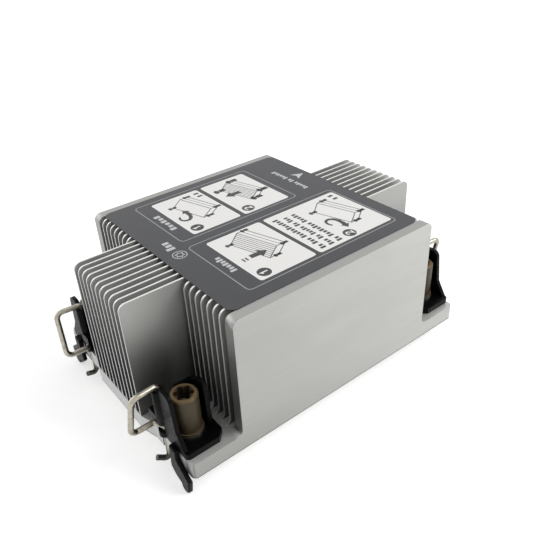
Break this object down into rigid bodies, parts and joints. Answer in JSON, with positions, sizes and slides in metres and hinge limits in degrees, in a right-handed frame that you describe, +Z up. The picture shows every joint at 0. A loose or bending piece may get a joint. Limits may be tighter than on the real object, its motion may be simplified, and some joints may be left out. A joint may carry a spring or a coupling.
{
  "type": "passive server processor heatsink",
  "caption": "Extruded aluminium fin heatsink on a machined base, with a captive nut and a turning wire bail in a plastic holder at each corner.",
  "frame": {"origin": "middle of the flat contact face under the base", "axes": "+X across the fins, +Y along the fins and the air flow, +Z up from the contact face to the fin tips"},
  "size_m": [0.078, 0.125, 0.0509],
  "materials": {
    "aluminium_block": "extruded and milled, satin",
    "label_film": "printed satin film",
    "holder_plastic": "moulded black plastic",
    "nut_plastic": "turned tan engineering plastic",
    "washer_steel": "plain steel",
    "ring_steel": "spring steel",
    "bail_steel": "drawn stainless wire"
  },
  "bodies": {
    "heatsink": {"heatsink_body": "aluminium_block", "label": "label_film", "nut_holder_front_right": "holder_plastic", "nut_washer_front_right": "washer_steel", "nut_holder_front_left": "holder_plastic", "nut_washer_front_left": "washer_steel", "nut_holder_back_right": "holder_plastic", "nut_washer_back_right": "washer_steel", "nut_holder_back_left": "holder_plastic", "nut_washer_back_left": "washer_steel"},
    "nut_front_right": {"captive_nut_front_right": "nut_plastic", "retaining_ring_front_right": "ring_steel"},
    "bail_front_right": {"wire_bail_front_right": "bail_steel"},
    "nut_front_left": {"captive_nut_front_left": "nut_plastic", "retaining_ring_front_left": "ring_steel"},
    "bail_front_left": {"wire_bail_front_left": "bail_steel"},
    "nut_back_right": {"captive_nut_back_right": "nut_plastic", "retaining_ring_back_right": "ring_steel"},
    "bail_back_right": {"wire_bail_back_right": "bail_steel"},
    "nut_back_left": {"captive_nut_back_left": "nut_plastic", "retaining_ring_back_left": "ring_steel"},
    "bail_back_left": {"wire_bail_back_left": "bail_steel"}
  },
  "joints": [
    {"name": "nut_spin_front_right", "type": "hinge", "parent": "heatsink", "child": "nut_front_right", "pos_m": [0.0286, -0.0478, 0.0084], "axis": [0, 0, 1], "continuous": true},
    {"name": "bail_turn_front_right", "type": "hinge", "parent": "heatsink", "child": "bail_front_right", "pos_m": [0.0243, -0.053, 0.0089], "axis": [0, 0, 1], "range_deg": [-90, 0]},
    {"name": "nut_spin_front_left", "type": "hinge", "parent": "heatsink", "child": "nut_front_left", "pos_m": [-0.0286, -0.0478, 0.0084], "axis": [0, 0, 1], "continuous": true},
    {"name": "bail_turn_front_left", "type": "hinge", "parent": "heatsink", "child": "bail_front_left", "pos_m": [-0.0243, -0.053, 0.0089], "axis": [0, 0, 1], "range_deg": [0, 90]},
    {"name": "nut_spin_back_right", "type": "hinge", "parent": "heatsink", "child": "nut_back_right", "pos_m": [0.0286, 0.0478, 0.0084], "axis": [0, 0, 1], "continuous": true},
    {"name": "bail_turn_back_right", "type": "hinge", "parent": "heatsink", "child": "bail_back_right", "pos_m": [0.0243, 0.053, 0.0089], "axis": [0, 0, 1], "range_deg": [0, 90]},
    {"name": "nut_spin_back_left", "type": "hinge", "parent": "heatsink", "child": "nut_back_left", "pos_m": [-0.0286, 0.0478, 0.0084], "axis": [0, 0, 1], "continuous": true},
    {"name": "bail_turn_back_left", "type": "hinge", "parent": "heatsink", "child": "bail_back_left", "pos_m": [-0.0243, 0.053, 0.0089], "axis": [0, 0, 1], "range_deg": [-90, 0]}
  ]
}
